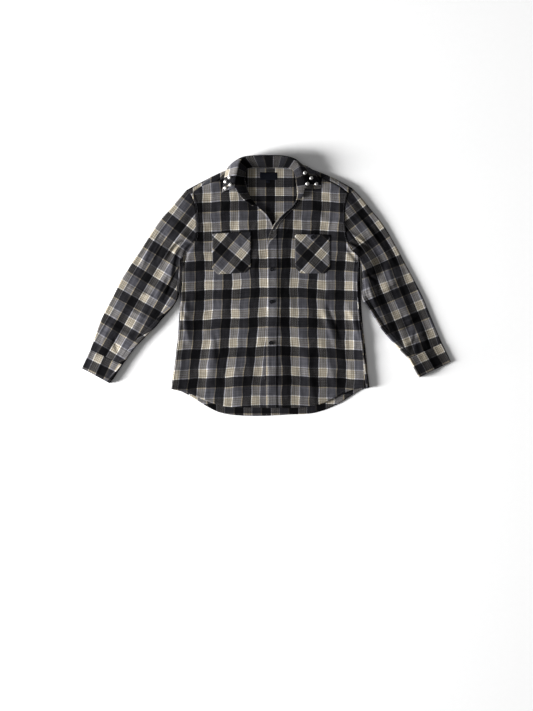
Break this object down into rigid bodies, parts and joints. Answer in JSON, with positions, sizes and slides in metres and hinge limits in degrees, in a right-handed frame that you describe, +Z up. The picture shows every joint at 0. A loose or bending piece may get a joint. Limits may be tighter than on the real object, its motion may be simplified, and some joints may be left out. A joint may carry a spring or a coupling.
{
  "type": "flannel shirt",
  "caption": "Brushed plaid flannel shirt laid flat, open at the neck, with chest patch pockets, barrel cuffs and metal dome studs on the collar leaves.",
  "frame": {"origin": "centre of the underside of the bounding box, on the surface that the shirt lies on", "axes": "+Z up out of the front of the shirt, +Y toward the collar, +X toward the wearer's left sleeve"},
  "size_m": [1.1672, 0.8225, 0.0283],
  "materials": {
    "flannel": "brushed twill, plaid of black, grey, cream and tan with thin yellow lines",
    "label": "smooth woven tape, blank",
    "button": "dark satin resin",
    "stud": "polished"
  },
  "bodies": {
    "root": {"back": "flannel", "yoke": "flannel", "front_right": "flannel", "front_left": "flannel", "placket": "flannel", "sleeve_right": "flannel", "sleeve_left": "flannel", "cuff_right": "flannel", "cuff_left": "flannel", "collar_stand": "flannel", "collar_fall": "flannel", "pocket_right": "flannel", "pocket_left": "flannel", "neck_label": "label", "size_tab": "label", "button_front_1": "button", "button_front_2": "button", "button_front_3": "button", "button_front_4": "button", "button_pocket": "button", "stud_right_1": "stud", "stud_right_2": "stud", "stud_right_3": "stud", "stud_right_4": "stud", "stud_left_1": "stud", "stud_left_2": "stud", "stud_left_3": "stud", "stud_left_4": "stud"}
  },
  "joints": []
}
